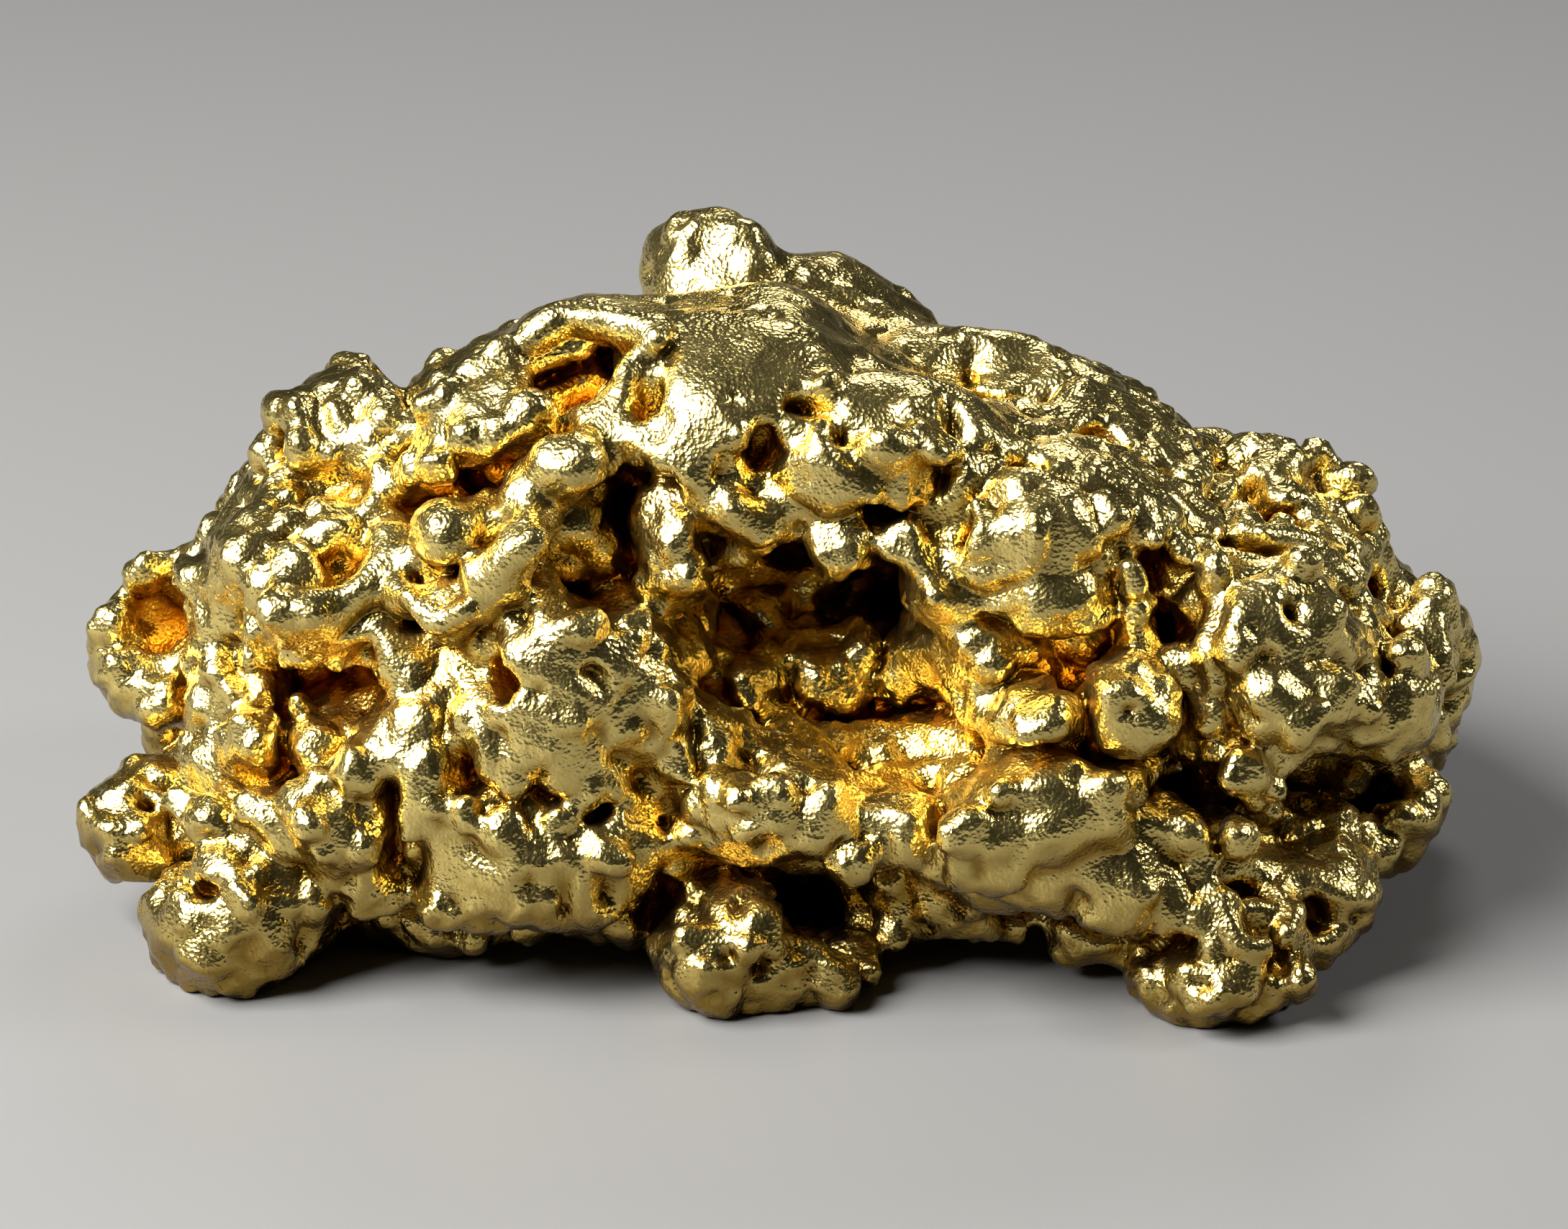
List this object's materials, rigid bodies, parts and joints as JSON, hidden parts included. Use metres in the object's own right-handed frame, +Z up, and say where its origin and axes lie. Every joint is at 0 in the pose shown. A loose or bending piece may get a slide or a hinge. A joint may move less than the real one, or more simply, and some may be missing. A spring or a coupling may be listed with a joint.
{
  "type": "gold nugget",
  "caption": "Natural nugget of native gold: a ridged, pitted lump with a steep hollowed face, rounded lobes and a worn flat base that it rests on.",
  "frame": {"origin": "Centre of the bounding box's base, on the surface that the nugget rests on.", "axes": "+X along the nugget's length, +Z up from the worn base to the peak, -Y out of the steep pitted face."},
  "size_m": [0.02, 0.0118, 0.0092],
  "materials": {
    "native_gold": "Bare native gold, water-worn: pale yellow and satin on the rounded lobes, burnished bright on rims and ridges, deep orange-brown and duller inside the pits."
  },
  "bodies": {
    "root": {"nugget": "native_gold"}
  },
  "joints": []
}
